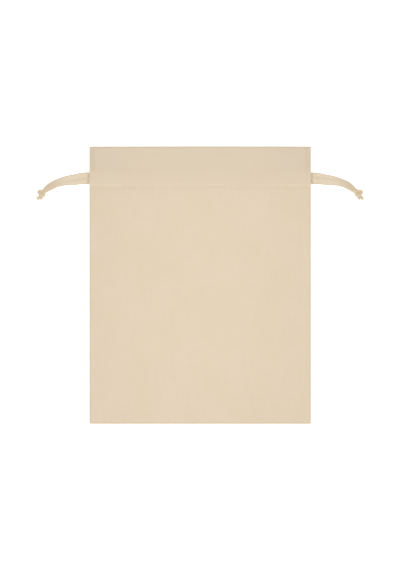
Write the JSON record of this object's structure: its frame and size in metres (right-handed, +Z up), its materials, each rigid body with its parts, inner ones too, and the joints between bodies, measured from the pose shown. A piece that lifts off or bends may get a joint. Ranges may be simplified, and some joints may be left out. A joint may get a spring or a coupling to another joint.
{
  "type": "drawstring shoe bag",
  "caption": "Flat cotton drawstring bag for shoes, open across the top, with a tape drawstring knotted outside each side slot.",
  "frame": {"origin": "centre of the underside of the bag as it lies flat, midway between its side edges and between its bottom seam and its top edge", "axes": "+X to the right seen from the front, +Y towards the mouth, +Z up out of the front panel"},
  "size_m": [0.4744, 0.4, 0.01],
  "materials": {
    "cotton_cloth": "unbleached plain weave, matt",
    "cotton_tape": "unbleached woven tape, matt",
    "sewing_thread": "matched cotton thread, matt"
  },
  "bodies": {
    "bag": {"front_panel": "cotton_cloth", "back_panel": "cotton_cloth", "bottom_seam_thread": "sewing_thread", "front_upper_stitches": "sewing_thread", "front_lower_stitches": "sewing_thread", "back_upper_stitches": "sewing_thread", "back_lower_stitches": "sewing_thread", "left_side_seam_thread": "sewing_thread", "left_header_seam_thread": "sewing_thread", "left_upper_bartack": "sewing_thread", "left_lower_bartack": "sewing_thread", "left_far_turn": "cotton_tape", "right_side_seam_thread": "sewing_thread", "right_header_seam_thread": "sewing_thread", "right_upper_bartack": "sewing_thread", "right_lower_bartack": "sewing_thread", "right_far_turn": "cotton_tape"},
    "left_drawstring": {"left_front_run": "cotton_tape", "left_back_run": "cotton_tape", "left_front_end": "cotton_tape", "left_back_end": "cotton_tape", "left_knot": "cotton_tape"},
    "right_drawstring": {"right_front_run": "cotton_tape", "right_back_run": "cotton_tape", "right_front_end": "cotton_tape", "right_back_end": "cotton_tape", "right_knot": "cotton_tape"}
  },
  "joints": [
    {"name": "left_pull", "type": "slide", "parent": "bag", "child": "left_drawstring", "axis": [-1, 0, 0], "range_m": [0, 0.28]},
    {"name": "right_pull", "type": "slide", "parent": "bag", "child": "right_drawstring", "axis": [1, 0, 0], "range_m": [0, 0.28]}
  ]
}
